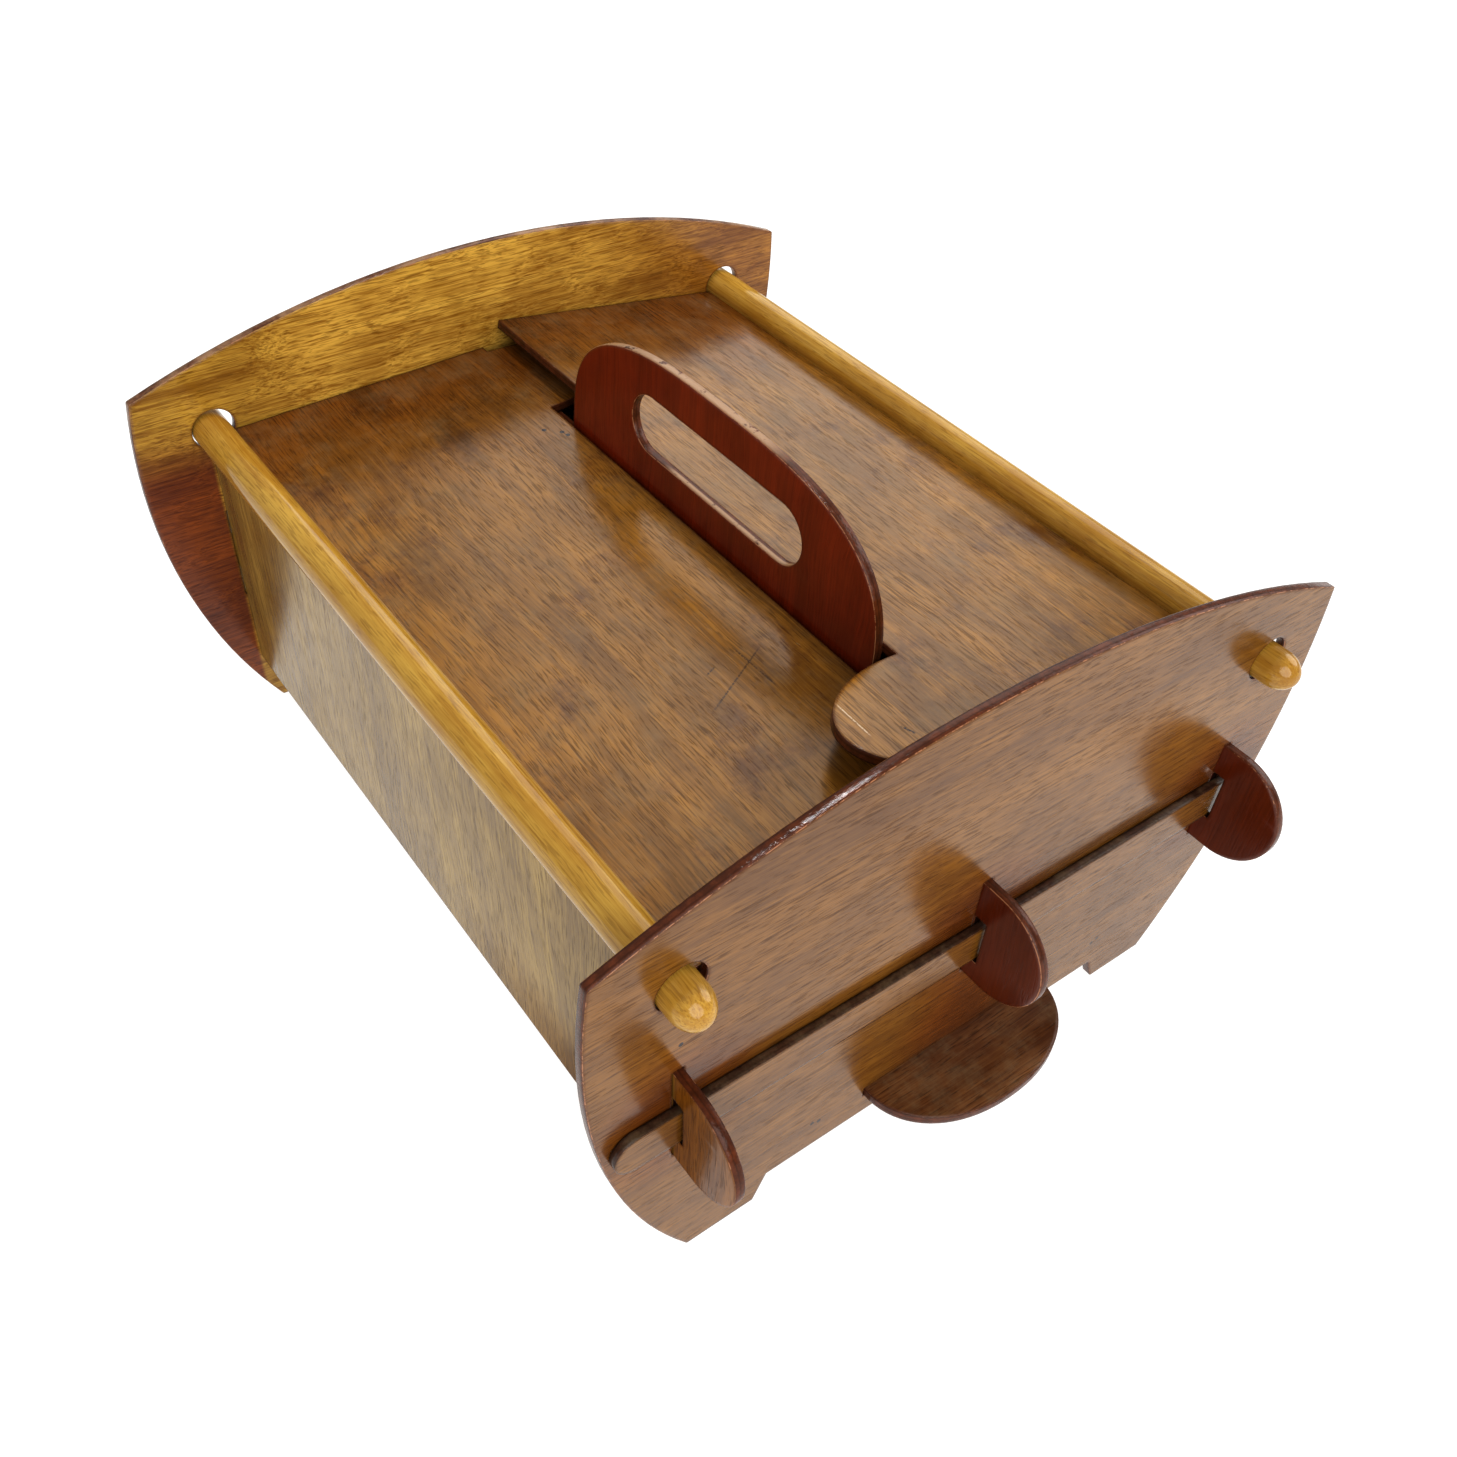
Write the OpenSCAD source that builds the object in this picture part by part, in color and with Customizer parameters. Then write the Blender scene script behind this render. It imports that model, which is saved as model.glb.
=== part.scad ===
// Knock-down plywood carry case with a central handle and two lids.
// The end panels are held on by half-moon tabs and a flat locking strip through the tabs.
// Each lid is let into a round rod that turns in the end panels.
// +X runs along the case, -Y is its front, +Z is up; the origin is on the floor under its middle.

/* [Case] */
// Thickness of every plywood board
ply = 3.6; // [3:0.1:4]
// Length over the outer faces of the two end panels
case_length = 312; // [290:1:400]
// Gap around a tab in its slot and between boards that meet
joint_gap = 0.2; // [0.1:0.05:0.3]

/* [End panels] */
// Distance between the upper corners of an end panel
panel_width = 300; // [296:1:304]
// Height of the upper corners
corner_height = 162.5; // [160:0.5:165]
// Height of the crown of the curved top edge
crown_height = 192; // [188:1:198]
// Distance between the outer corners of the two feet
foot_span = 218; // [214:1:224]
// How far the curved side stands out from the straight line between its corners
side_bulge = 14.2; // [12:0.1:16]
// Width of one foot along the floor
foot_width = 27; // [20:1:35]
// Height of the shallow cut-out between the feet
arch_height = 11.5; // [8:0.5:15]
// How far each end of the cut-out slants inward
arch_slant = 4.5; // [2:0.5:8]

/* [Rods] */
// Diameter of a rod
rod_diameter = 14; // [13:0.5:15]
// Diameter of the hole that a rod turns in
rod_hole_diameter = 17; // [17:0.5:19]
// How far a rod hole's middle sits behind the rod's axis
rod_hole_shift = 1.1; // [0:0.1:1.2]
// Distance from the case's middle plane to a rod's axis
rod_offset = 121.5; // [121:0.5:122]
// Height of the rods' axes above the floor
rod_height = 142.8; // [142.5:0.1:143.2]
// How far a rod's plain shank stands out of an end panel
rod_shank = 4.5; // [3:0.5:8]
// Length of a rod's rounded nose
rod_nose = 8.5; // [6:0.5:12]

/* [Lids] */
// Depth of a lid from its rod's axis to its free edge
lid_depth = 118; // [117.5:0.1:118.2]
// How far the lid's rounded tab reaches beyond the free edge
lid_tab_reach = 44; // [36:1:44]
// Width of the lid's rounded tab
lid_tab_width = 50; // [40:1:52]
// Distance from the tab's outer side to the end panel
lid_tab_inset = 5; // [3:0.5:8]
// Depth of the lid's upper face below its rod's axis
lid_sink = 2.2; // [2:0.1:2.3]
// Gap between a lid's end and the end panel
lid_end_gap = 0.8; // [0.5:0.1:1.5]
// Slope of the closed front lid, which lies on the divider
front_slope = 2.5; // [2.5:0.1:2.8]
// Slope of the closed back lid, which lies on the front lid's tab
back_slope = 7.7; // [7.7:0.1:8.4]

/* [Boards] */
// Height of the floor board's upper face
floor_top = 25.5; // [24:0.5:27]
// Width of the floor board
floor_width = 227; // [224:1:229]
// Distance from the middle plane to a side board's outer face at its foot
side_foot = 116; // [115.5:0.1:116.3]
// Outward lean of the side boards in degrees
side_lean = 3.5; // [3.3:0.1:3.7]
// Height of a side board along its slope
side_board_height = 110; // [108:0.5:110]

/* [Tabs and strips] */
// Radius of a half-moon tab
tab_radius = 21.7; // [20:0.1:24]
// Straight part of a tab before its round
tab_straight = 7.9; // [6:0.1:9]
// Height of the side boards' tabs, at their middle
side_tab_height = 82.6; // [80:0.1:86]
// Height of the divider's tabs, at their middle
divider_tab_height = 85.8; // [82:0.1:88]
// Width of the floor board's tab
floor_tab_width = 83; // [70:1:90]
// How far the floor board's tab stands out
floor_tab_reach = 28.4; // [24:0.1:30]
// How far the floor board's tab sits behind the middle plane
floor_tab_shift = 4.5; // [0:0.5:6]
// Squareness of the floor board's tab: 2 is an ellipse, more is squarer
floor_tab_power = 2.15; // [2:0.05:2.5]
// Thickness of a locking strip
strip_thickness = 3; // [2.8:0.1:3.6]
// Height of a locking strip
strip_height = 15.5; // [12:0.5:16]
// Length of a locking strip
strip_length = 283; // [270:1:286]
// Height of the slot that the strip passes through
slot_height = 19; // [18:0.5:22]
// Depth of that slot along the case
slot_depth = 4.6; // [4.4:0.1:5.5]
// Height of the slot's lower end above the floor
slot_bottom = 72.6; // [72:0.1:74]

/* [Handle] */
// Height of the divider's shoulders, on which the front lid lies
shoulder_height = 142; // [141.5:0.1:142.1]
// Length of the handle where it leaves the divider
handle_length = 177.4; // [160:0.2:178]
// How far the handle sits off the divider's middle, towards the right end panel
handle_shift = 5; // [0:0.5:5]
// Height of the handle's top edge above the floor
handle_top = 200; // [195:0.5:210]
// Squareness of the handle's arch: 2 is an ellipse, more is squarer
arch_power = 2.95; // [2:0.05:3.2]
// Length of the finger hole
grip_length = 98; // [85:1:110]
// Height of the finger hole
grip_height = 23.5; // [20:0.5:26]
// Height of the finger hole's middle above the floor
grip_middle = 171.7; // [168:0.1:174]

/* [Hidden] */
inner_x = case_length / 2 - ply;
outer_x = case_length / 2;
arch_base = shoulder_height + 5;
tab_centre = outer_x + tab_straight;
side_foot_z = floor_top + joint_gap / 2;
side_tab_rise = (side_tab_height - side_foot_z) / cos(side_lean);
side_slot_rise = (slot_bottom - side_foot_z) / cos(side_lean);
lid_length = 2 * (inner_x - lid_end_gap);
lid_tab_middle = inner_x - lid_tab_inset - lid_tab_width / 2;
strip_gap = 0.4;
strip_bottom = slot_bottom + strip_gap;
curve_steps = 40;
round_fn = 96;
large = 500;

walnut = "#8a5c3a";
veneer = "#b08a5a";
mahogany = "#5a1c10";
beech = "#c99a45";

// Radius of the arc with the given chord and rise
function arc_radius(chord, rise) = (chord * chord / 4 + rise * rise) / (2 * rise);

// Points over the upper half of a superellipse, from the right end to the left one
function half_arch(half_width, height, power = 2) =
    [for (i = [0 : curve_steps])
        let (a = 180 * i / curve_steps, c = cos(a), s = sin(a))
            [half_width * sign(c) * pow(abs(c), 2 / power), height * pow(s, 2 / power)]];

// Stands a drawing in the YZ plane and gives it thickness along +X
module across_case(thickness) {
    rotate([90, 0, 90]) linear_extrude(thickness) children();
}

// Stands a drawing in the XZ plane and gives it thickness along -Y
module along_case(thickness) {
    rotate([90, 0, 0]) linear_extrude(thickness) children();
}

// ---- End panels ----

// Area inside one curved side, for the side at +Y
module inside_curved_side() {
    lean_in = panel_width / 2 - foot_span / 2;
    chord = norm([lean_in, corner_height]);
    radius = arc_radius(chord, side_bulge);
    outward = [corner_height, -lean_in] / chord;
    middle = [panel_width / 2 - lean_in / 2, corner_height / 2];
    translate(middle - outward * (radius - side_bulge)) circle(radius, $fn = 2 * round_fn);
}

module end_panel_outline() {
    crown_radius = arc_radius(panel_width, crown_height - corner_height);
    arch_foot = foot_span / 2 - foot_width;
    arch_top = arch_foot - arch_slant;
    difference() {
        intersection() {
            translate([0, crown_height - crown_radius]) circle(crown_radius, $fn = 2 * round_fn);
            inside_curved_side();
            mirror([1, 0]) inside_curved_side();
            translate([-large / 2, 0]) square(large);
        }
        polygon([[-arch_foot, -1], [-arch_foot, 0], [-arch_top, arch_height],
                 [arch_top, arch_height], [arch_foot, 0], [arch_foot, -1]]);
    }
}

// Slots of an end panel, each a little larger than the tab that passes through it
module panel_slots() {
    slot_width = ply + 2 * joint_gap;
    slot_length = 2 * (tab_radius + joint_gap);
    for (turn = [0, 1])
        mirror([turn, 0]) translate([-side_foot, side_foot_z]) rotate(side_lean)
            translate([-joint_gap, side_tab_rise - slot_length / 2]) square([slot_width, slot_length]);
    translate([0, divider_tab_height]) square([slot_width, slot_length], center = true);
    translate([floor_tab_shift, floor_top - ply / 2])
        square([floor_tab_width + 2 * joint_gap, slot_width], center = true);
}

// End panel with its inner face at x = 0
module end_panel() {
    across_case(ply) difference() {
        end_panel_outline();
        panel_slots();
        for (side = [-1, 1])
            translate([side * rod_offset + rod_hole_shift, rod_height])
                circle(d = rod_hole_diameter, $fn = round_fn);
    }
}

module end_panel_right() color(walnut) translate([inner_x, 0, 0]) end_panel();
module end_panel_left() color(walnut) translate([-outer_x, 0, 0]) end_panel();

// ---- Boards with half-moon tabs ----

// Both half-moon tabs of an upright board, each with the slot for a locking strip.
// The tabs' middle is at middle_y and the slots start at slot_y.
module half_moon_tabs(middle_y, slot_y) {
    for (turn = [0, 1])
        mirror([turn, 0]) difference() {
            union() {
                translate([inner_x - 1, middle_y - tab_radius])
                    square([tab_centre - inner_x + 1, 2 * tab_radius]);
                translate([tab_centre, middle_y]) circle(tab_radius, $fn = round_fn);
            }
            translate([0, middle_y - tab_radius - 1]) square([inner_x - 1, 2 * tab_radius + 2]);
            translate([outer_x, slot_y]) square([slot_depth, slot_height]);
        }
}

// The front side board; the back one is the same board turned half round
module side_board() {
    translate([0, -side_foot, side_foot_z]) rotate([side_lean, 0, 0]) translate([0, ply, 0])
        along_case(ply) {
            translate([-inner_x, 0]) square([2 * inner_x, side_board_height]);
            half_moon_tabs(side_tab_rise, side_slot_rise);
        }
}

module side_board_front() color(veneer) side_board();
module side_board_back() color(veneer) rotate([0, 0, 180]) side_board();

// Tab of the floor board at its +X end
module floor_tab() {
    translate([inner_x - 1, floor_tab_shift - floor_tab_width / 2]) square([ply + 1, floor_tab_width]);
    translate([outer_x, floor_tab_shift]) rotate(-90)
        polygon(half_arch(floor_tab_width / 2, floor_tab_reach, floor_tab_power));
}

module floor_board() {
    color(walnut) translate([0, 0, floor_top - ply]) linear_extrude(ply) {
        square([2 * inner_x, floor_width], center = true);
        for (turn = [0, 1]) mirror([turn, 0]) floor_tab();
    }
}

// Rounded finger hole
module grip_outline() {
    bend = grip_length / 2 - grip_height / 2;
    translate([handle_shift, grip_middle]) {
        square([2 * bend, grip_height], center = true);
        for (side = [-1, 1]) translate([side * bend, 0]) circle(d = grip_height, $fn = round_fn);
    }
}

module divider_handle() {
    color(mahogany) translate([0, ply / 2, 0]) along_case(ply) difference() {
        union() {
            translate([-inner_x, side_foot_z])
                square([2 * inner_x, shoulder_height - side_foot_z]);
            translate([handle_shift - handle_length / 2, shoulder_height - 1])
                square([handle_length, arch_base - shoulder_height + 1]);
            translate([handle_shift, arch_base])
                polygon(half_arch(handle_length / 2, handle_top - arch_base, arch_power));
            half_moon_tabs(divider_tab_height, slot_bottom);
        }
        grip_outline();
    }
}

// ---- Locking strips ----

// Flat bar with round ends, on the outer face of the right end panel
module locking_strip() {
    bend = strip_length / 2 - strip_height / 2;
    translate([outer_x + strip_gap, 0, strip_bottom + strip_height / 2]) across_case(strip_thickness) {
        square([2 * bend, strip_height], center = true);
        for (side = [-1, 1]) translate([side * bend, 0]) circle(d = strip_height, $fn = round_fn);
    }
}

module locking_strip_right() color(walnut) locking_strip();
module locking_strip_left() color(walnut) rotate([0, 0, 180]) locking_strip();

// ---- Lids and rods ----
// A lid and its rod are drawn with the rod's axis on the X axis and the lid lying towards +Y.

module lid_board() {
    translate([0, 0, -lid_sink - ply]) linear_extrude(ply) {
        translate([-lid_length / 2, 0]) square([lid_length, lid_depth]);
        translate([-lid_tab_middle, lid_depth])
            polygon(half_arch(lid_tab_width / 2, lid_tab_reach));
    }
}

// Round rod with rounded noses and a rebate that holds the lid's edge
module rod() {
    shank_end = outer_x + rod_shank;
    difference() {
        rotate([0, 90, 0]) {
            translate([0, 0, -shank_end]) cylinder(h = 2 * shank_end, d = rod_diameter, $fn = round_fn);
            for (turn = [0, 1])
                mirror([0, 0, turn]) translate([0, 0, shank_end])
                    rotate_extrude($fn = round_fn) intersection() {
                        polygon(half_arch(rod_diameter / 2, rod_nose));
                        square(rod_diameter);
                    }
        }
        translate([-lid_length / 2, 0, -rod_diameter])
            cube([lid_length, rod_diameter, rod_diameter - lid_sink]);
    }
}

module at_front_hinge() translate([0, -rod_offset, rod_height]) rotate([front_slope, 0, 0]) children();
module at_back_hinge()
    rotate([0, 0, 180]) translate([0, -rod_offset, rod_height]) rotate([back_slope, 0, 0]) children();

module lid_front() color(walnut) at_front_hinge() lid_board();
module lid_back() color(walnut) at_back_hinge() lid_board();
module hinge_rod_front() color(beech) at_front_hinge() rod();
module hinge_rod_back() color(beech) at_back_hinge() rod();

end_panel_left();
end_panel_right();
side_board_front();
side_board_back();
floor_board();
divider_handle();
locking_strip_left();
locking_strip_right();
lid_front();
lid_back();
hinge_rod_front();
hinge_rod_back();
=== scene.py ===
"""Looks for the knock-down carry case: varnished woods, worn edges, soft studio light.

Every board's material is worked out in millimetres in the board's own frame: the case's axes,
x towards the right end, y towards the back and z up, moved to a place on the board and turned
about x by the board's slope.
"""
import math

import bpy
from mathutils import Euler, Matrix, Vector

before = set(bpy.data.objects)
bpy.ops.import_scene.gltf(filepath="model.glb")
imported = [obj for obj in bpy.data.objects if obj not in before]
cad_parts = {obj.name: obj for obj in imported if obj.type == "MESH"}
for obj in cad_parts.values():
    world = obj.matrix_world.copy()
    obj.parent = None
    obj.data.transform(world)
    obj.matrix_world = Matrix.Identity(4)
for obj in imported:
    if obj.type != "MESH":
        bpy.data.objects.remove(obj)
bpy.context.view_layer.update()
scene = bpy.context.scene

MM = 0.001

# ---- Places and slopes of the boards, in millimetres and degrees ----

# Each rod's axis, from the case's middle plane and from the table.
ROD_OFFSET = 121.5
ROD_HEIGHT = 142.8
# The closed lids.
FRONT_SLOPE = 2.5
BACK_SLOPE = 7.7
# Foot of each side board, from the middle plane and from the table.
SIDE_FOOT = 116.0
SIDE_FOOT_HEIGHT = 25.6
SIDE_LEAN = 3.5
# Middle of the slot in each tab, half the slot with a little to spare, and the fade beyond.
SLOT_OUT = 158.3
SLOT_HALF_DEPTH = 2.6
SLOT_DEPTH_FADE = 0.6
SLOT_HEIGHT = 82.1
SLOT_HALF_HEIGHT = 10.0
SLOT_HEIGHT_FADE = 0.8


# ---- Camera ----

# The photo's camera, solved from the case's straight edges: metres, degrees, and millimetres
# of lens before the usual 36 mm sensor.
CAMERA_PLACE = Vector((0.33996, -0.27397, 0.46497))
CAMERA_TURN = (50.8228, -3.4956, 54.0555)
CAMERA_LENS = 37.163
CAMERA_SHIFT = (0.0230, -0.0848)


def add_camera():
    camera_data = bpy.data.cameras.new("camera")
    camera_data.lens = CAMERA_LENS
    camera_data.shift_x, camera_data.shift_y = CAMERA_SHIFT
    camera_data.clip_start = 0.01
    camera = bpy.data.objects.new("camera", camera_data)
    scene.collection.objects.link(camera)
    turn = Euler([math.radians(angle) for angle in CAMERA_TURN])
    camera.matrix_world = Matrix.LocRotScale(CAMERA_PLACE, turn, None)
    scene.camera = camera


# ---- Studio ----

CASE_MIDDLE = Vector((0, 0, 0.1))
WORLD_COLOR = (1.0, 0.99, 0.975, 1)
WORLD_STRENGTH = 0.45
DISPLAY_GAMMA = 0.8
FLOOR_RADIUS = 6
FLOOR_DARK = (0.21, 0.21, 0.207)
FLOOR_LIGHT = (0.24, 0.24, 0.237)
FLOOR_GLOW = (1.0, 0.99, 0.98, 1)
FLOOR_GLOW_STRENGTH = 0.95


def add_softbox(name, towards, distance, size, power):
    """Round light at that distance from the case, in that direction, facing it."""
    data = bpy.data.lights.new(name, "AREA")
    data.shape = "DISK"
    data.size = size
    data.energy = power
    light = bpy.data.objects.new(name, data)
    scene.collection.objects.link(light)
    direction = Vector(towards).normalized()
    light.location = direction * distance + CASE_MIDDLE
    light.rotation_euler = direction.to_track_quat("Z", "Y").to_euler()


def add_studio():
    world = bpy.data.worlds.new("studio")
    scene.world = world
    world.use_nodes = True
    background = world.node_tree.nodes["Background"]
    background.inputs["Color"].default_value = WORLD_COLOR
    background.inputs["Strength"].default_value = WORLD_STRENGTH
    add_softbox("overhead", (-0.172, 0.116, 0.978), distance=1.3, size=0.16, power=5)
    add_softbox("back_window", (-0.55, 0.57, 0.61), distance=1.5, size=1.2, power=5)
    add_softbox("right_fill", (0.8, -0.3, 0.5), distance=1.6, size=1.6, power=20)
    add_softbox("back_fill", (0.25, 0.85, 0.55), distance=1.6, size=1.2, power=10)
    scene.view_settings.view_transform = "Standard"
    scene.view_settings.gamma = DISPLAY_GAMMA


def add_floor():
    """White light table, a little brighter than the surroundings."""
    bpy.ops.mesh.primitive_circle_add(vertices=96, radius=FLOOR_RADIUS, fill_type="NGON")
    floor = bpy.context.object
    floor.name = "floor"
    shader = Shader("floor")
    patches = shader.noise(shader.object_mm(), scale=0.004)
    shader.finish(shader.blend(FLOOR_DARK, FLOOR_LIGHT, patches), roughness=0.9)
    shader.surface.inputs["Emission Color"].default_value = FLOOR_GLOW
    shader.surface.inputs["Emission Strength"].default_value = FLOOR_GLOW_STRENGTH
    floor.data.materials.append(shader.material)


# ---- Shader building ----

# The Mix node's sockets for colours.
MIX_FACTOR = 0
MIX_FIRST = 6
MIX_SECOND = 7
MIX_RESULT = 2

NUMBER_RESULTS = ("LENGTH", "DISTANCE", "DOT_PRODUCT")
VARNISH_IOR = 1.55


class Shader:
    """One material's node tree, built with short calls that each return an output socket.

    Every place is in millimetres, and every mask runs from 0 to 1.
    """

    def __init__(self, name):
        self.material = bpy.data.materials.new(name)
        self.material.use_nodes = True
        self.nodes = self.material.node_tree.nodes
        self.links = self.material.node_tree.links
        self.surface = self.nodes["Principled BSDF"]

    def add(self, kind, inputs=(), **settings):
        """New node of that kind; inputs maps a socket's name or number to a value or a socket."""
        node = self.nodes.new("ShaderNode" + kind)
        for key, value in settings.items():
            setattr(node, key, value)
        for key, value in dict(inputs).items():
            self.feed(node.inputs[key], value)
        return node

    def feed(self, socket, value):
        """Links an output socket to the socket, or sets the socket to a constant."""
        if isinstance(value, bpy.types.NodeSocket):
            self.links.new(value, socket)
        elif socket.type == "RGBA" and len(value) == 3:
            socket.default_value = (*value, 1)
        else:
            socket.default_value = value

    def math(self, operation, first, second=0.0):
        return self.add("Math", {0: first, 1: second}, operation=operation).outputs[0]

    def times(self, first, second):
        return self.math("MULTIPLY", first, second)

    def total(self, *terms):
        """Sum of (value, weight) pairs."""
        result = 0.0
        for value, weight in terms:
            result = self.math("ADD", self.times(value, weight), result)
        return result

    def inverse(self, mask):
        return self.math("SUBTRACT", 1.0, mask)

    def vector(self, operation, first, second=(0, 0, 0)):
        node = self.add("VectorMath", {0: first, 1: second}, operation=operation)
        return node.outputs["Value" if operation in NUMBER_RESULTS else "Vector"]

    def axes(self, vector):
        return self.add("SeparateXYZ", {0: vector}).outputs

    def join(self, x=0.0, y=0.0, z=0.0):
        return self.add("CombineXYZ", {0: x, 1: y, 2: z}).outputs[0]

    def step(self, value, low, high, bottom=0.0, top=1.0):
        """Smooth step of value from bottom at low to top at high."""
        inputs = {
            "Value": value, "From Min": low, "From Max": high, "To Min": bottom, "To Max": top,
        }
        return self.add("MapRange", inputs, interpolation_type="SMOOTHSTEP").outputs[0]

    def blend(self, first, second, mask, mode="MIX"):
        """The first colour, and the second one where the mask is 1."""
        inputs = {MIX_FACTOR: mask, MIX_FIRST: first, MIX_SECOND: second}
        return self.add("Mix", inputs, data_type="RGBA", blend_type=mode).outputs[MIX_RESULT]

    def tinted(self, color, tint, mask):
        """The colour, multiplied by the tint where the mask is 1."""
        return self.blend(color, tint, mask, "MULTIPLY")

    def noise(self, vector, scale=1.0, detail=2.0, roughness=0.5):
        inputs = {"Vector": vector, "Scale": scale, "Detail": detail, "Roughness": roughness}
        return self.add("TexNoise", inputs).outputs["Fac"]

    def object_mm(self):
        """Place on the object, in millimetres."""
        place = self.add("TexCoord").outputs["Object"]
        return self.vector("MULTIPLY", place, (1 / MM, 1 / MM, 1 / MM))

    def turned(self, vector, angle, axis=(1, 0, 0)):
        inputs = {"Vector": vector, "Axis": axis, "Angle": math.radians(angle)}
        return self.add("VectorRotate", inputs).outputs[0]

    def rounded_edge(self, radius_mm):
        """Normal rounded over that distance from an edge, and a mask of how near the edge is."""
        soft = self.add("Bevel", {"Radius": radius_mm * MM}, samples=6).outputs[0]
        flat = self.add("NewGeometry").outputs["True Normal"]
        return soft, self.step(self.vector("DISTANCE", soft, flat), 0.02, 0.6)

    def near_any(self, place, centres, radius):
        """Mask of what lies within that radius of any of the centres, with a soft rim."""
        result = 0.0
        for centre in centres:
            away = self.vector("DISTANCE", place, centre)
            result = self.math("MAXIMUM", self.step(away, radius, 0.85 * radius), result)
        return result

    def scratch(self, place, start, end, width):
        """Mask of a straight scratch between two places, fading out and broken up a little."""
        start, end = Vector((*start, 0)), Vector((*end, 0))
        reach = (end - start).length
        offset = self.vector("SUBTRACT", place, start)
        run = self.vector("DOT_PRODUCT", offset, (end - start).normalized())
        aside = self.vector("DISTANCE", offset, self.vector("PROJECT", offset, end - start))
        within = self.times(self.step(run, 0, 0.2 * reach), self.step(run, reach, 0.8 * reach))
        ragged = self.step(self.noise(place, 1.3), 0.35, 0.5)
        return self.times(self.times(self.step(aside, width, 0.4 * width), within), ragged)

    def finish(self, color, roughness=0.5, height=None, depth_mm=0.0,
               coat=0.0, coat_roughness=0.1, normal=None):
        """Varnished surface. height is a bump of that depth, laid over normal if that is given."""
        surface = self.surface.inputs
        self.feed(surface["Base Color"], color)
        self.feed(surface["Roughness"], roughness)
        self.feed(surface["Coat Weight"], coat)
        self.feed(surface["Coat Roughness"], coat_roughness)
        surface["Coat IOR"].default_value = VARNISH_IOR
        surface["Specular IOR Level"].default_value = 0.0
        if height is not None:
            bump = self.add("Bump", {"Height": height, "Distance": depth_mm * MM, "Strength": 1.0})
            if normal is not None:
                self.feed(bump.inputs["Normal"], normal)
            self.feed(surface["Normal"], bump.outputs[0])
            self.feed(surface["Coat Normal"], bump.outputs[0])


class BoardShader(Shader):
    """Shader that also knows the place in its board's own frame, and faces from sawn edges."""

    def __init__(self, node, through, origin, slope):
        super().__init__(node)
        self.place = self.turned(self.vector("SUBTRACT", self.object_mm(), origin), -slope)
        normal = self.turned(self.add("TexCoord").outputs["Normal"], -slope)
        through_index = "xyz".index(through)
        self.thickness = self.axes(self.place)[through_index]
        self.facing = self.axes(normal)[through_index]
        self.flatness = self.math("ABSOLUTE", self.facing)
        self.is_edge = self.step(self.flatness, 0.75, 0.45)


# ---- Woods ----

class Wood:
    """Colours and grain of one veneer.

    fibre and pores are the strengths of the dark fibres and of the pores. wave is how far the
    grain wanders aside, in millimetres, and cloud how much broad patches count in the tone.
    """

    def __init__(self, dark, light, pore, fibre=0.6, pores=0.5, wave=9.0, cloud=0.5):
        self.dark = dark
        self.light = light
        self.pore = pore
        self.fibre = fibre
        self.pores = pores
        self.wave = wave
        self.cloud = cloud


MAHOGANY = Wood(dark=(0.125, 0.048, 0.008), light=(0.275, 0.122, 0.018), pore=(0.060, 0.020, 0.003))
TAN = Wood(dark=(0.165, 0.072, 0.010), light=(0.400, 0.192, 0.028), pore=(0.065, 0.024, 0.003))
GOLDEN = Wood(
    dark=(0.270, 0.110, 0.007), light=(0.780, 0.490, 0.095), pore=(0.120, 0.045, 0.005),
    fibre=0.7, pores=0.4, wave=30.0)
OLIVE = Wood(
    dark=(0.190, 0.102, 0.014), light=(0.450, 0.290, 0.062), pore=(0.070, 0.038, 0.012),
    pores=0.45)
RED = Wood(
    dark=(0.085, 0.012, 0.002), light=(0.150, 0.023, 0.004), pore=(0.050, 0.006, 0.001),
    fibre=0.25, pores=0.2, wave=20.0, cloud=0.6)
UMBER = Wood(
    dark=(0.090, 0.028, 0.008), light=(0.240, 0.105, 0.036), pore=(0.020, 0.007, 0.003),
    cloud=0.9)
BEECH = Wood(
    dark=(0.375, 0.185, 0.020), light=(0.600, 0.378, 0.074), pore=(0.190, 0.080, 0.010),
    fibre=0.3, pores=0.35, wave=6.0)

STAINED_EDGE = (0.078, 0.021, 0.007)
DUSTY_EDGE = (0.045, 0.019, 0.010)
RUBBED_EDGE = (0.42, 0.19, 0.09)
PALE_EDGE = (0.42, 0.26, 0.15)
DUST = (0.25, 0.18, 0.10)
# Dark colour of nicks and scratches, also painted as shade in the walls of the tabs' slots.
NICK_AND_SLOT_SHADE = (0.020, 0.006, 0.004)
PALE_SCRATCH = (0.62, 0.48, 0.30)

# Share of the fine streaks in a veneer's tone, and how far from dark to light it runs.
FINE_SHARE = 0.6
TONE_SPREAD = 0.26
# How far apart in the noise two boards' patterns lie, for each step of the seed.
SEED_SHIFT = (531.7, 217.3, 97.1)
# One light and one dark ply.
PLY_PAIR = 1.8


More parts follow.
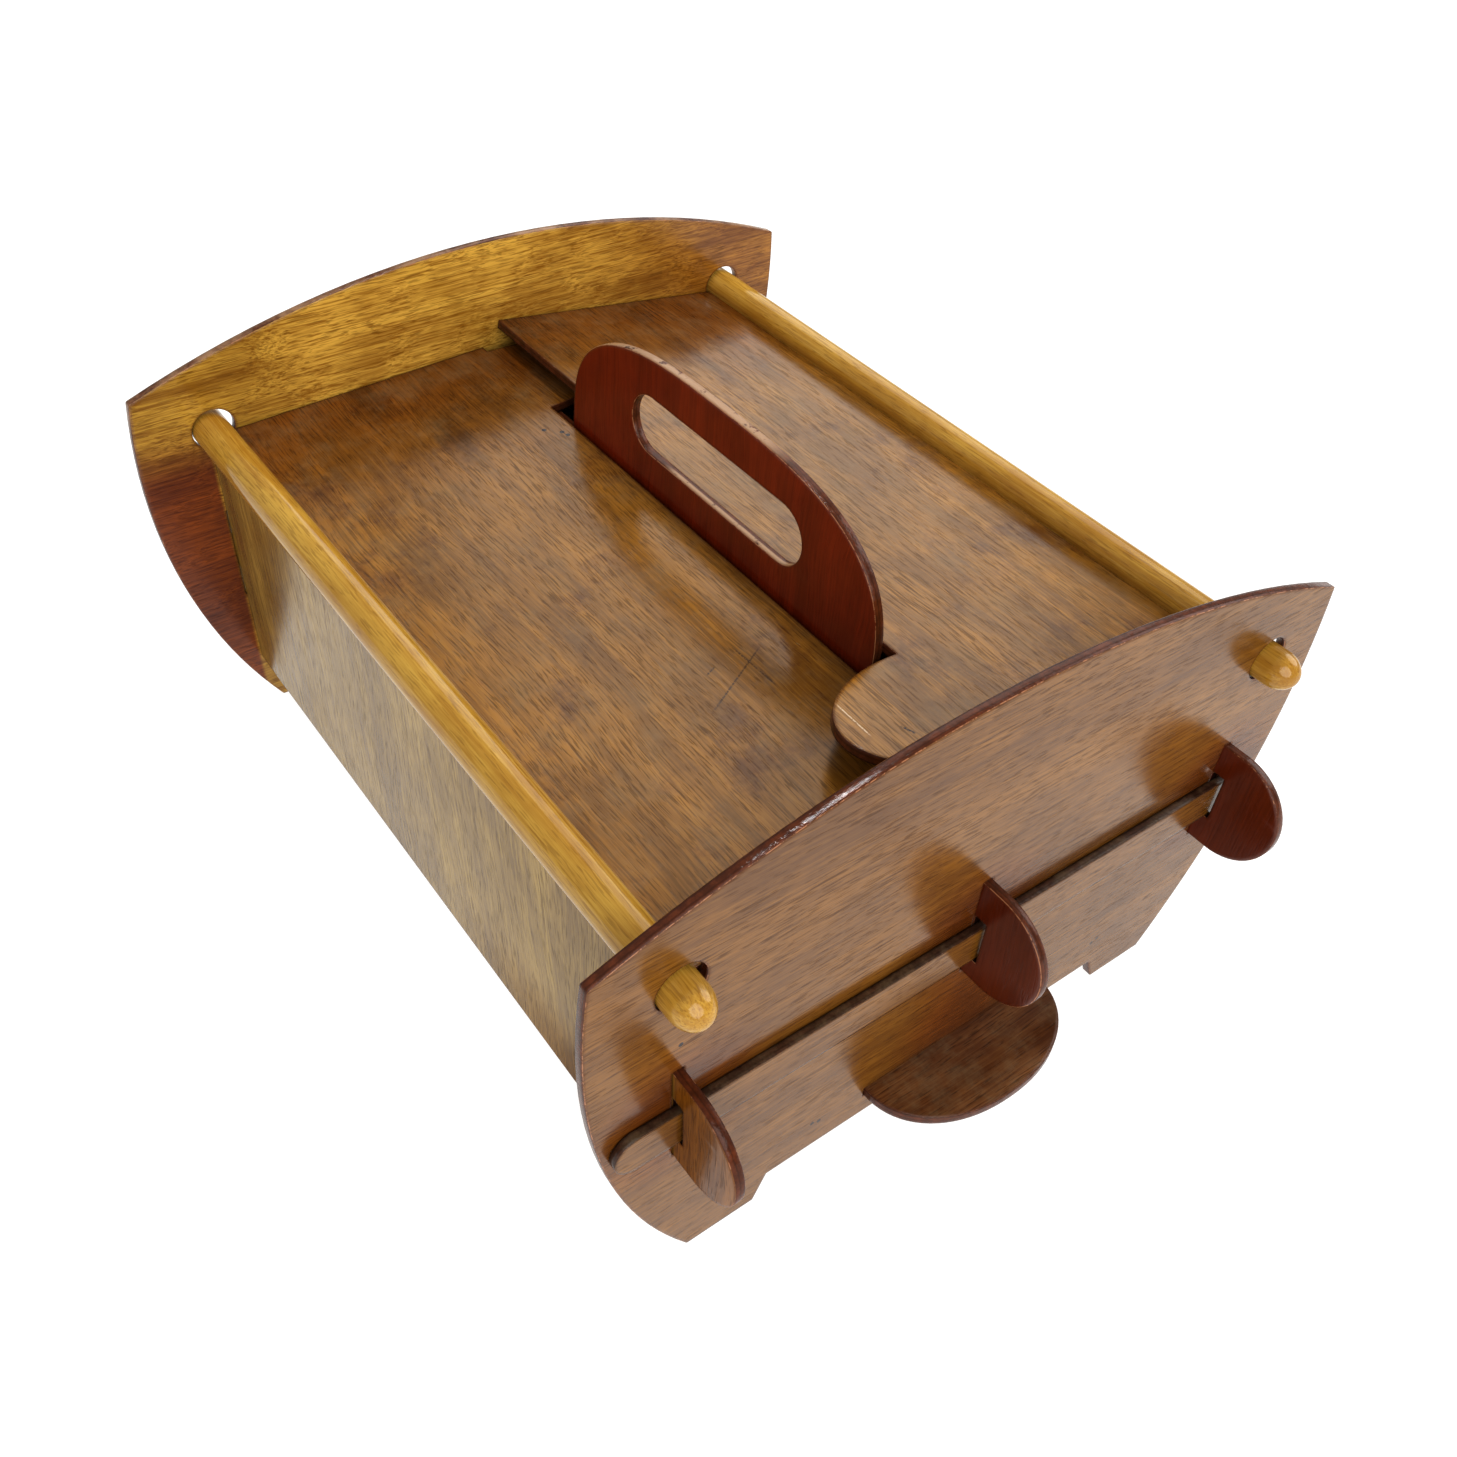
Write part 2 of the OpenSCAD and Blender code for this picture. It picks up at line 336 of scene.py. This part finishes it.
class Grain:
    """Masks of a veneer. The grain runs along the chosen axis of the board's frame."""

    def __init__(self, shader, place, axis, seed, wave):
        along = shader.axes(place)
        order = {"x": (0, 1, 2), "y": (1, 0, 2), "z": (2, 0, 1)}[axis]
        laid = shader.join(*(along[i] for i in order))
        laid = shader.vector("ADD", laid, tuple(seed * shift for shift in SEED_SHIFT))
        wander = shader.noise(shader.vector("MULTIPLY", laid, (0.009, 0.018, 0.018)), detail=3.0)
        laid = shader.vector("ADD", laid, shader.join(y=shader.times(wander, wave)))

        def streaks(length, width, detail=2.0, roughness=0.5):
            scale = (1 / length, 1 / width, 1 / width)
            return shader.noise(shader.vector("MULTIPLY", laid, scale), 1.0, detail, roughness)

        ribbon = streaks(150, 9, detail=4.0, roughness=0.62)
        self.cloud = shader.noise(laid, 0.028, 3.0, 0.6)
        self.tone = shader.total((streaks(320, 30), 0.4), (ribbon, 0.6))
        self.fine = streaks(40, 1.0, detail=3.0, roughness=0.75)
        self.fibre = shader.step(streaks(32, 0.8, roughness=0.6), 0.50, 0.66)
        pore_floor = shader.step(ribbon, 0.3, 0.7, 0.60, 0.51)
        pores = shader.math("SUBTRACT", streaks(8.0, 0.55, detail=1.0), pore_floor)
        self.pore = shader.step(pores, 0.0, 0.10)


def scaled(color, factor):
    return tuple(factor * value for value in color)


def veneer_color(shader, grain, wood):
    """Dark to light with the tone of the grain, then fibres and pores over it."""
    tone = shader.total((grain.tone, 1.0), (grain.fine, FINE_SHARE), (grain.cloud, wood.cloud))
    middle = 0.5 * (1.0 + FINE_SHARE + wood.cloud)
    lightness = shader.step(tone, middle - TONE_SPREAD, middle + TONE_SPREAD)
    color = shader.blend(wood.dark, wood.light, lightness)
    color = shader.blend(color, wood.dark, shader.times(grain.fibre, wood.fibre))
    return shader.blend(color, wood.pore, shader.times(grain.pore, wood.pores))


def face_color(shader, grain, woods):
    """The first wood on the face towards the plus side, the second on the other."""
    color = veneer_color(shader, grain, woods[0])
    if woods[1] is not woods[0]:
        towards_plus = shader.step(shader.facing, -0.2, 0.2)
        color = shader.blend(veneer_color(shader, grain, woods[1]), color, towards_plus)
    return color


def sawn_color(shader, stain):
    """Colour of a board's sawn edge: plies under stain."""
    wave = shader.noise(shader.vector("MULTIPLY", shader.place, (0.05, 0.05, 0.8)), detail=3.0)
    depth = shader.math("ADD", shader.thickness, wave)
    layers = shader.math("SINE", shader.times(depth, 2 * math.pi / PLY_PAIR))
    patches = shader.step(shader.noise(shader.place, 0.25, 4.0, 0.7), 0.35, 0.75)
    color = shader.blend(stain, scaled(stain, 2.0), patches)
    return shader.blend(color, scaled(stain, 0.5), shader.step(layers, 0.2, 1.0, 0.0, 0.5))


# ---- Boards and rods ----

# Millimetres: how near vertices are welded, the bevel of the edges, the rounding and the painted
# dark shade along the rims of the faces, and the depths of the bumps.
WELD_DISTANCE = 0.01
EDGE_ROUNDING = 0.45
RIM_WIDTH = 1.8
BOARD_RELIEF = 0.03
ROD_RELIEF = 0.010

EDGE_SEGMENTS = 3
SHARP_ANGLE = 35
RIM_SHADE_STRENGTH = 0.75
WOOD_ROUGHNESS = 0.5
ROD_VARNISH_ROUGHNESS = 0.11


def dress(node, shader):
    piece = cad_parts[node]
    piece.data.materials.clear()
    piece.data.materials.append(shader.material)


def round_edges(node):
    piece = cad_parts[node]
    weld = piece.modifiers.new("weld", "WELD")
    weld.merge_threshold = WELD_DISTANCE * MM
    bevel = piece.modifiers.new("round_edges", "BEVEL")
    bevel.width = EDGE_ROUNDING * MM
    bevel.segments = EDGE_SEGMENTS
    bevel.limit_method = "ANGLE"
    bevel.angle_limit = math.radians(SHARP_ANGLE)
    bevel.harden_normals = True
    bevel.use_clamp_overlap = True


def dusted(shader, color, dust):
    """Dust of that strength, in patches."""
    patchy = shader.step(shader.noise(shader.place, 0.06, 6.0, 0.7), 0.42, 0.72)
    return shader.blend(color, DUST, shader.times(patchy, dust))


def rim_painted_shade(shader, color, near_edge, edge):
    """Painted shade: a face is darker along its edges, standing in for the shade of a rounded edge.
    """
    on_face = shader.times(near_edge, shader.inverse(shader.is_edge))
    return shader.blend(color, scaled(edge, 1.6), shader.times(on_face, RIM_SHADE_STRENGTH))


def rubbed_corners(shader, color, wear):
    """Bare wood in patches on the rounded corner between face and edge, more with more wear."""
    rub = shader.noise(shader.place, 0.3, 4.0, 0.7)
    patches = shader.step(rub, 0.66 - 0.3 * wear, 0.74 - 0.24 * wear)
    corner = shader.times(
        shader.step(shader.flatness, 0.3, 0.6), shader.step(shader.flatness, 0.98, 0.85))
    return shader.blend(color, RUBBED_EDGE, shader.times(corner, patches))


def relief(shader, grain):
    """Height of the surface: grain, and dents in the sawn edges."""
    dents = shader.times(shader.noise(shader.place, 0.55, 3.0, 0.6), shader.is_edge)
    return shader.total((grain.fine, 0.4), (grain.pore, -0.5), (dents, 4.0))


def varnish(shader, grain):
    """How much varnish there is: less in the pores and on the sawn edges."""
    return shader.step(shader.math("MAXIMUM", grain.pore, shader.is_edge), 0.0, 1.0, 1.0, 0.75)


def varnish_roughness(shader):
    """Smudged, and smoother on the sawn edges."""
    smudge = shader.step(shader.noise(shader.place, 0.03, 4.0, 0.6), 0.3, 0.7, 0.15, 0.23)
    return shader.total((smudge, 1.0), (shader.is_edge, -0.07))


def around_slots(shader):
    """Mask of the places round the slots in the tabs, which hold the locking strips."""
    x, _, height = shader.axes(shader.object_mm())
    aside = shader.math("ABSOLUTE", shader.math("SUBTRACT", shader.math("ABSOLUTE", x), SLOT_OUT))
    above = shader.math("ABSOLUTE", shader.math("SUBTRACT", height, SLOT_HEIGHT))
    return shader.times(
        shader.step(aside, SLOT_HALF_DEPTH + SLOT_DEPTH_FADE, SLOT_HALF_DEPTH),
        shader.step(above, SLOT_HALF_HEIGHT + SLOT_HEIGHT_FADE, SLOT_HALF_HEIGHT))


def board(node, woods, grain, through, origin=(0, 0, 0), slope=0.0, seed=0,
          wear=0.5, dust=0.0, edge=STAINED_EDGE, marks=None, worn=None, gloss=None, slotted=False):
    """Dresses one board.

    woods are the veneers of its faces towards the plus and the minus side of the axis through
    its thickness, and grain is the axis that their grain runs along. marks takes the shader and
    the faces' colour and returns a new colour; worn does the same for the sawn edges. gloss
    takes the shader and returns how much varnish is left. The walls of the slots of a slotted
    board are dark with painted shade, and dull.
    """
    shader = BoardShader(node, through, origin, slope)
    pattern = Grain(shader, shader.place, grain, seed, woods[0].wave)

    color = face_color(shader, pattern, woods)
    if marks:
        color = marks(shader, color)
    if dust:
        color = dusted(shader, color, dust)
    sawn = sawn_color(shader, edge)
    if worn:
        sawn = worn(shader, sawn)
    color = shader.blend(color, sawn, shader.is_edge)
    rounded, near_edge = shader.rounded_edge(RIM_WIDTH)
    # Painted shade along the rims of the faces.
    color = rim_painted_shade(shader, color, near_edge, edge)
    color = rubbed_corners(shader, color, wear)

    coat = varnish(shader, pattern)
    if gloss:
        coat = shader.times(coat, gloss(shader))
    if slotted:
        # Painted shade in the slots' walls: dark colour, and dull varnish.
        in_slot = shader.times(around_slots(shader), shader.is_edge)
        color = shader.blend(color, NICK_AND_SLOT_SHADE, in_slot)
        coat = shader.times(coat, shader.inverse(in_slot))
    shader.finish(color, WOOD_ROUGHNESS, relief(shader, pattern), BOARD_RELIEF,
                  coat, varnish_roughness(shader), rounded)
    dress(node, shader)
    round_edges(node)


def rod(node, seed):
    shader = Shader(node)
    pattern = Grain(shader, shader.object_mm(), "x", seed, BEECH.wave)
    color = veneer_color(shader, pattern, BEECH)
    shader.finish(color, WOOD_ROUGHNESS, pattern.fine, ROD_RELIEF,
                  coat=1.0, coat_roughness=ROD_VARNISH_ROUGHNESS)
    dress(node, shader)


# ---- Marks of use, painted light and shade, and tints of single boards, with places in millimetres ----

# Tints, multiplied into a colour.
TAB_SHADE_TINT = (0.86, 0.62, 0.55)
DEEP_RED_SHADE_AND_STAIN = (0.50, 0.20, 0.12)
BROWN = (0.62, 0.46, 0.32)
GREYISH = (0.74, 0.72, 0.60)
VIOLET_STAIN = (0.58, 0.50, 0.62)
RED_BROWN = (0.56, 0.40, 0.30)
DARK_BROWN_SHADE = (0.60, 0.42, 0.28)
ORANGE_BROWN = (0.75, 0.46, 0.22)
PAINTED_LIGHT_RED = (1.7, 1.2, 1.2)

# The right end panel's tabs, the painted red shade around each, and the nicks. Across and up.
TAB_MIDDLES = ((-118, 84), (0, 86), (118, 84), (4.5, 36))
TAB_SHADE_END = 40
TAB_SHADE_FULL = 10
PANEL_NICKS = ((-119.0, 116.7), (-60.0, 25.4), (-57.0, 24.4), (77.3, 25.8), (74.5, 24.9))
NICK_RADIUS = 0.9

# Along the case, and from the rod along the lid.
FRONT_LID_SCRATCHES = (((78.5, 67), (60.5, 102)), ((61, 82), (63, 77)), ((55, 92), (81, 93)))
FRONT_LID_SPECKS = ((-84.9, 107.1, 0), (-79.9, 112.2, 0), (-77.0, 113.0, 0))
SPECK_RADIUS = 1.0
SCRATCH_STRENGTH = 0.7
BACK_LID_PALE_SCRATCH = ((107.8, -153.8), (125.4, -154.0))
BACK_LID_DARK_SCRATCH = ((124.8, -142.4), (130.1, -140.2))


def right_panel_shade_and_nicks(shader, color):
    """Painted shade, redder around the tabs that block light and reflection there; and with nicks.
    """
    _, y, z = shader.axes(shader.place)
    flat = shader.join(y=y, z=z)
    for middle in TAB_MIDDLES:
        away = shader.vector("DISTANCE", flat, (0, *middle))
        # Painted shade: redder and darker near each tab.
        near = shader.step(away, TAB_SHADE_END, TAB_SHADE_FULL)
        color = shader.tinted(color, TAB_SHADE_TINT, near)
    nicks = [(0, *nick) for nick in PANEL_NICKS]
    return shader.blend(color, NICK_AND_SLOT_SHADE, shader.near_any(flat, nicks, NICK_RADIUS))


def left_panel_shade_and_tints(shader, color):
    """Red outside the front side board, painted shade of that corner together with stain; brown
    towards the back and greyer towards the front.
    """
    _, y, z = shader.axes(shader.place)
    leaning = shader.total((y, 1.0), (z, math.tan(math.radians(SIDE_LEAN))))
    # Painted shade and stain in the corner outside the front side board.
    beside_board_shade_and_stain = shader.times(shader.step(leaning, -114, -116), shader.step(z, 150, 122))
    color = shader.tinted(color, DEEP_RED_SHADE_AND_STAIN, beside_board_shade_and_stain)
    color = shader.tinted(color, BROWN, shader.step(y, 30, 120))
    return shader.tinted(color, GREYISH, shader.step(y, -70, -120))


def left_panel_edges(shader, color):
    """The top edge is rubbed down to paler wood in places."""
    height = shader.axes(shader.place)[2]
    rub = shader.step(shader.noise(shader.place, 0.05, 5.0, 0.7), 0.35, 0.65, 0.0, 0.8)
    return shader.blend(color, PALE_EDGE, shader.times(shader.step(height, 140, 148), rub))


def strip_edges(shader, color):
    """Dust lies on a strip's top edge."""
    height = shader.axes(shader.place)[2]
    patchy = shader.step(shader.noise(shader.place, 0.1, 5.0, 0.7), 0.4, 0.7, 0.0, 0.4)
    return shader.blend(color, DUST, shader.times(shader.step(height, 86, 87.5), patchy))


def lid_marks(shader, color):
    """Both lids are stained in patches, and redder and darker towards the left end."""
    x = shader.axes(shader.place)[0]
    stains = shader.step(shader.noise(shader.place, 0.022, 7.0, 0.72), 0.50, 0.68)
    color = shader.tinted(color, VIOLET_STAIN, stains)
    return shader.tinted(color, RED_BROWN, shader.step(x, -50, -140))


def flat_place(shader):
    """Place on a lid's face, whatever its depth in the lid."""
    x, y, _ = shader.axes(shader.place)
    return shader.join(x=x, y=y)


def front_lid_marks(shader, color):
    color = lid_marks(shader, color)
    flat = flat_place(shader)
    for start, end in FRONT_LID_SCRATCHES:
        scratch = shader.times(shader.scratch(flat, start, end, width=0.45), SCRATCH_STRENGTH)
        color = shader.blend(color, NICK_AND_SLOT_SHADE, scratch)
    return shader.blend(color, NICK_AND_SLOT_SHADE, shader.near_any(flat, FRONT_LID_SPECKS, SPECK_RADIUS))


def back_lid_marks(shader, color):
    color = lid_marks(shader, color)
    flat = flat_place(shader)
    pale = shader.scratch(flat, *BACK_LID_PALE_SCRATCH, width=0.35)
    color = shader.blend(color, PALE_SCRATCH, pale)
    return shader.blend(color, NICK_AND_SLOT_SHADE, shader.scratch(flat, *BACK_LID_DARK_SCRATCH, width=0.6))


def low_at_right(shader):
    """Mask of a side board's low right end."""
    x, _, height = shader.axes(shader.place)
    return shader.times(shader.step(height, 50, 0), shader.step(x, 0, 130))


def side_shade_and_tints(shader, color):
    """The front side board is darker low down at its right end, painted shade standing for the
    shaded floor it reflects there; and darker on its tabs.
    """
    # Painted shade low down at the right end.
    color = shader.tinted(color, DARK_BROWN_SHADE, low_at_right(shader))
    on_tab = shader.step(shader.math("ABSOLUTE", shader.axes(shader.place)[0]), 154, 158)
    return shader.tinted(color, ORANGE_BROWN, on_tab)


def side_gloss(shader):
    """The varnish is thinner towards the right end, most of all low down."""
    thinned = shader.step(low_at_right(shader), 0.0, 1.0, 0.9, 0.36)
    return shader.times(thinned, shader.step(shader.axes(shader.place)[0], -20, 150, 1.0, 0.75))


def handle_painted_light(shader, color):
    """Painted light: the handle is a brighter red than the rest of its board, for more light on it.
    """
    height = shader.axes(shader.place)[2]
    # Painted light on the handle.
    return shader.tinted(color, PAINTED_LIGHT_RED, shader.step(height, 110, 150))


def handle_edges(shader, color):
    """Rubbed pale: the left of the handle's top edge, and the front of its finger hole's foot."""
    x, across, height = shader.axes(shader.place)
    rub = shader.step(shader.noise(shader.place, 0.12, 4.0, 0.7), 0.36, 0.46)
    top = shader.times(shader.step(height, 183, 187), shader.step(x, 45, 25))
    in_hole = shader.times(shader.step(height, 166, 163), shader.step(height, 157, 159))
    front_half = shader.step(across, 0.6, -0.2)
    middle = shader.times(shader.step(x, -25, -15), shader.step(x, 60, 50))
    held = shader.math("ADD", top, shader.times(in_hole, shader.times(front_half, middle)))
    return shader.blend(color, PALE_EDGE, shader.times(held, rub))


# ---- The case ----

add_camera()
add_studio()
add_floor()

board("end_panel_left", (GOLDEN, MAHOGANY), grain="y", through="x", seed=21,
      marks=left_panel_shade_and_tints, worn=left_panel_edges)
board("end_panel_right", (MAHOGANY, GOLDEN), grain="y", through="x", seed=2, wear=0.6,
      marks=right_panel_shade_and_nicks)
board("side_board_front", (RED, OLIVE), grain="z", through="y",
      origin=(0, -SIDE_FOOT, SIDE_FOOT_HEIGHT), slope=SIDE_LEAN, seed=3,
      marks=side_shade_and_tints, gloss=side_gloss, slotted=True)
board("side_board_back", (OLIVE, RED), grain="z", through="y",
      origin=(0, SIDE_FOOT, SIDE_FOOT_HEIGHT), slope=-SIDE_LEAN, seed=4, slotted=True)
board("floor_board", (UMBER, UMBER), grain="y", through="z", seed=5, dust=0.4)
board("divider_handle", (RED, RED), grain="z", through="y", seed=6, wear=1.0,
      marks=handle_painted_light, worn=handle_edges, slotted=True)
for seed, node in enumerate(("locking_strip_left", "locking_strip_right"), start=7):
    board(node, (MAHOGANY, MAHOGANY), grain="y", through="x", seed=seed,
          edge=DUSTY_EDGE, worn=strip_edges)
board("lid_front", (TAN, TAN), grain="x", through="z",
      origin=(0, -ROD_OFFSET, ROD_HEIGHT), slope=FRONT_SLOPE, seed=9, dust=0.25,
      marks=front_lid_marks)
board("lid_back", (TAN, TAN), grain="x", through="z",
      origin=(0, ROD_OFFSET, ROD_HEIGHT), slope=-BACK_SLOPE, seed=10, dust=0.25,
      marks=back_lid_marks)
rod("hinge_rod_front", seed=11)
rod("hinge_rod_back", seed=12)
